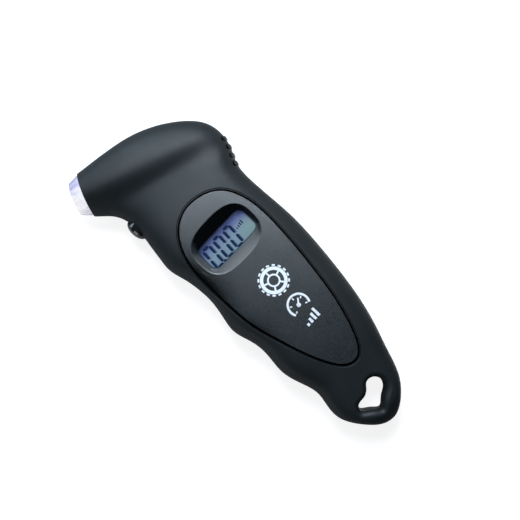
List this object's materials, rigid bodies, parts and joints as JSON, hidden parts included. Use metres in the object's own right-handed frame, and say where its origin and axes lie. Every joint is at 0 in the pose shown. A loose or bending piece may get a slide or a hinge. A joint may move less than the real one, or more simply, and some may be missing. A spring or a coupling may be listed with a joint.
{
  "type": "digital tire pressure gauge",
  "caption": "Hand-held digital tire pressure gauge with a clear lit nozzle on a tubular head, sunk LCD, side button, finger-grip handle, battery door and hang hole.",
  "frame": {"origin": "on the flat back the gauge rests on, under the middle of the display", "axes": "+Y up the handle towards the head, +X to the thumb side, +Z out of the display"},
  "size_m": [0.0644, 0.164, 0.026],
  "materials": {
    "soft_touch_housing": "fine matt soft-touch moulding",
    "plate_plastic": "fine spark-eroded grain",
    "button_plastic": "polished",
    "clear_window": "polished clear plastic",
    "lcd_glass": "reflective display glass over a pale blue backlight",
    "backlight_white": "milky light guide",
    "clear_tip": "clear polycarbonate, slightly frosted",
    "lamp_clear": "clear lamp resin",
    "seal_rubber": "smooth black rubber",
    "tube_silicone": "milky silicone",
    "pin_brass": "turned",
    "board_green": "solder mask over copper tracks",
    "resin_black": "epoxy resin",
    "part_black": "moulded component body",
    "plated_steel": "nickel plated",
    "screw_steel": "black zinc",
    "foam_grey": "closed-cell foam",
    "wire_red": "wire insulation",
    "wire_black": "wire insulation"
  },
  "bodies": {
    "housing": {"front_housing": "soft_touch_housing", "back_housing": "soft_touch_housing", "face_plate": "plate_plastic", "display_lens": "clear_window", "lcd_panel": "lcd_glass", "backlight_panel": "backlight_white", "backlight_leds": "lamp_clear", "contact_strip": "seal_rubber", "circuit_board": "board_green", "control_chip": "resin_black", "timing_crystal": "plated_steel", "pressure_sensor": "part_black", "air_tube": "tube_silicone", "nozzle_core": "pin_brass", "core_o_ring": "seal_rubber", "nozzle_seal": "seal_rubber", "depressor_pin": "pin_brass", "nozzle_tip": "clear_tip", "nozzle_led": "lamp_clear", "light_wire_red": "wire_red", "light_wire_black": "wire_black", "button_switch": "part_black", "coin_cell": "plated_steel", "coin_contact_top": "plated_steel", "coin_contact_side": "plated_steel", "light_cells": "plated_steel", "lamp_contact_spring": "plated_steel", "lamp_contact_plate": "plated_steel", "housing_screws": "screw_steel", "board_screws": "screw_steel"},
    "mode_button": {"mode_button": "button_plastic"},
    "switch_plunger": {"switch_plunger": "part_black"},
    "battery_door": {"battery_door": "soft_touch_housing", "door_foam": "foam_grey"},
    "door_screw": {"door_screw": "screw_steel"}
  },
  "joints": [
    {"name": "mode_button_press", "type": "slide", "parent": "housing", "child": "mode_button", "axis": [1, 0, 0], "range_m": [0, 0.0005]},
    {"name": "switch_plunger_press", "type": "slide", "parent": "housing", "child": "switch_plunger", "axis": [1, 0, 0], "range_m": [0, 0.0005]},
    {"name": "battery_door_lift", "type": "slide", "parent": "housing", "child": "battery_door", "axis": [0, 0, -1], "range_m": [0, 0.012]},
    {"name": "door_screw_turn", "type": "hinge", "parent": "battery_door", "child": "door_screw", "pos_m": [-0.0015, -0.023, 0], "axis": [0, 0, -1], "continuous": true}
  ],
  "couplings": [
    {"joint": "switch_plunger_press", "follows": "mode_button_press", "ratio": 1}
  ]
}
